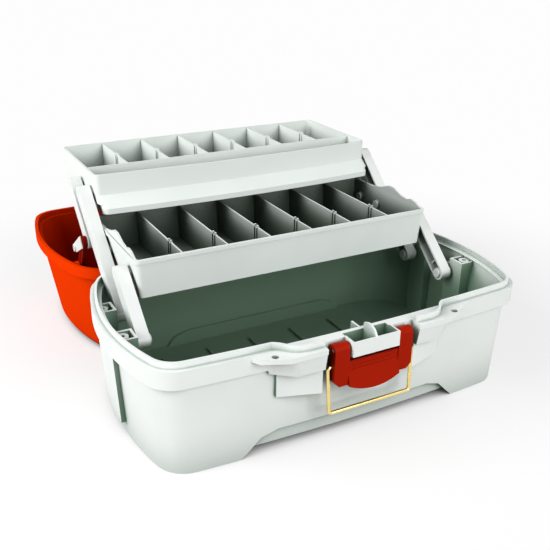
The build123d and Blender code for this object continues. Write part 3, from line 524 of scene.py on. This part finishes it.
def inner_wall(sign):
    """Places and inward normals along the tub's inner wall at one end, from front to rear."""
    cut = bmesh.new()
    cut.from_mesh(NODES["base_shell"].data)
    bmesh.ops.remove_doubles(cut, verts=cut.verts, dist=WELD_GAP)
    middle = (0.0, 0.0, sum(LEDGE_Z) / 2)
    geometry = cut.verts[:] + cut.edges[:] + cut.faces[:]
    made = bmesh.ops.bisect_plane(cut, geom=geometry, plane_co=middle, plane_no=(0.0, 0.0, 1.0))
    wall = {}
    for edge in (item for item in made["geom_cut"] if isinstance(item, bmesh.types.BMEdge)):
        inward = sum((face.normal for face in edge.link_faces), Vector())
        inward.z = 0.0
        centre = (edge.verts[0].co + edge.verts[1].co) / 2
        at_end = sign * centre.x >= LEDGE_FROM_X
        upright = inward.length >= LEDGE_UPRIGHT
        if at_end and upright and sign * inward.x <= -LEDGE_FACING * inward.length:
            for vertex in edge.verts:
                place, normal = wall.get(vertex, (vertex.co.copy(), Vector()))
                wall[vertex] = (place, normal + inward.normalized())
    run = sorted(wall.values(), key=lambda item: item[0].y)
    cut.free()
    return [(place, normal.normalized()) for place, normal in run]


def rim_ledge(side):
    """A narrow ledge inside the rim at one end, following the tub's inner wall."""
    bm = bmesh.new()
    rows = []
    low, high = LEDGE_Z
    for place, normal in inner_wall(SIDES[side]):
        root, edge = place - normal * LEDGE_ROOT, place + normal * LEDGE_REACH
        corners = ((root, low), (edge, high - LEDGE_EDGE), (edge, high), (root, high))
        rows.append([bm.verts.new((point.x, point.y, level)) for point, level in corners])
    for here, there in zip(rows, rows[1:]):
        bridge(bm, here, there)
    bm.faces.new(rows[0])
    bm.faces.new(rows[-1][::-1])
    add_piece(f"rim_ledge_{side}", bm, SHELL_PLASTIC, "base")


for side in SIDES:
    for post in POST_CENTRES:
        post_boss(side, post)
    for arm in RIB_ARMS:
        arm_rib(side, arm)
    link_foot(side)
    rim_ledge(side)


# Camera
def aim_camera():
    """The camera at the photograph's place, tilt and field of view."""
    forward = Vector(
        (
            -math.sin(CAMERA_AZIMUTH) * math.cos(CAMERA_PITCH),
            math.cos(CAMERA_AZIMUTH) * math.cos(CAMERA_PITCH),
            -math.sin(CAMERA_PITCH),
        )
    )
    level = Vector((math.cos(CAMERA_AZIMUTH), math.sin(CAMERA_AZIMUTH), 0.0))
    up = level.cross(forward)
    right = level * math.cos(CAMERA_ROLL) + up * math.sin(CAMERA_ROLL)
    top = up * math.cos(CAMERA_ROLL) - level * math.sin(CAMERA_ROLL)
    data = bpy.data.cameras.new("Camera")
    data.lens = CAMERA_LENS
    data.sensor_width = CAMERA_SENSOR
    data.sensor_fit = "HORIZONTAL"
    data.clip_end = CAMERA_FAR
    camera = bpy.data.objects.new("Camera", data)
    turn = Matrix((right, top, -forward)).transposed().to_4x4()
    camera.matrix_world = Matrix.Translation(CAMERA_PLACE) @ turn
    bpy.context.scene.collection.objects.link(camera)
    bpy.context.scene.camera = camera


# Studio
def floor_paper():
    """Pale paper that keeps the object's shadow, has a painted contact shadow where the object comes close,
    and turns white further away.
    """
    material, tree, output = blank_material("floor_paper")
    diffuse = add_node(tree, "ShaderNodeBsdfDiffuse", Color=shade(FLOOR_COLOUR, 1.0)).outputs[0]
    # Painted contact shadow: the white lift fades out where the object shuts the floor in
    touch = openness(tree, FLOOR_SHADE_REACH, *FLOOR_SHADE, False)
    glow = add_node(tree, "ShaderNodeMapRange", Value=touch, To_Max=FLOOR_LIFT).outputs["Result"]
    lift = add_node(tree, "ShaderNodeEmission", Strength=glow).outputs[0]
    near = join_shaders(tree, add_node(tree, "ShaderNodeAddShader"), diffuse, lift)
    white = add_node(tree, "ShaderNodeEmission", Strength=BACKGROUND).outputs[0]
    away = add_node(tree, "ShaderNodeVectorMath", Vector=object_place(tree))
    away.operation = "LENGTH"
    far = smooth_step(tree, away.outputs["Value"], FLOOR_NEAR, FLOOR_FAR)
    shown = join_shaders(tree, add_node(tree, "ShaderNodeMixShader", Fac=far), near, white)
    seen = add_node(tree, "ShaderNodeMixShader", Fac=seen_directly(tree))
    tree.links.new(join_shaders(tree, seen, diffuse, shown), output.inputs["Surface"])
    return material


def floor():
    """A wide floor under the object."""
    bm = bmesh.new()
    bmesh.ops.create_grid(bm, x_segments=1, y_segments=1, size=FLOOR_HALF)
    mesh = bpy.data.meshes.new("floor")
    bm.to_mesh(mesh)
    bm.free()
    mesh.materials.append(floor_paper())
    plane = bpy.data.objects.new("floor", mesh)
    bpy.context.scene.collection.objects.link(plane)


def area_light(name, place, power):
    """A soft square light aimed at the object."""
    data = bpy.data.lights.new(name, "AREA")
    data.shape = "SQUARE"
    data.size = LAMP_SIZE
    data.energy = power
    lamp = bpy.data.objects.new(name, data)
    lamp.location = place
    lamp.rotation_euler = (Vector(LAMP_AIM) - Vector(place)).to_track_quat("-Z", "Y").to_euler()
    bpy.context.scene.collection.objects.link(lamp)


def world_light():
    """Even light from all round, seen as white."""
    world = bpy.data.worlds.new("studio")
    world.use_nodes = True
    tree = world.node_tree
    tree.nodes.clear()
    level = add_node(
        tree, "ShaderNodeMapRange", Value=seen_directly(tree), To_Min=WORLD_LEVEL, To_Max=BACKGROUND
    )
    back = add_node(tree, "ShaderNodeBackground", Strength=level.outputs["Result"])
    back.inputs["Color"].default_value = (1.0, 1.0, 1.0, 1.0)
    output = tree.nodes.new("ShaderNodeOutputWorld")
    tree.links.new(back.outputs[0], output.inputs["Surface"])
    bpy.context.scene.world = world


aim_camera()
floor()
area_light("side", SIDE_PLACE, SIDE_POWER)
area_light("front", FRONT_PLACE, FRONT_POWER)
world_light()
bpy.context.scene.view_settings.view_transform = "Standard"
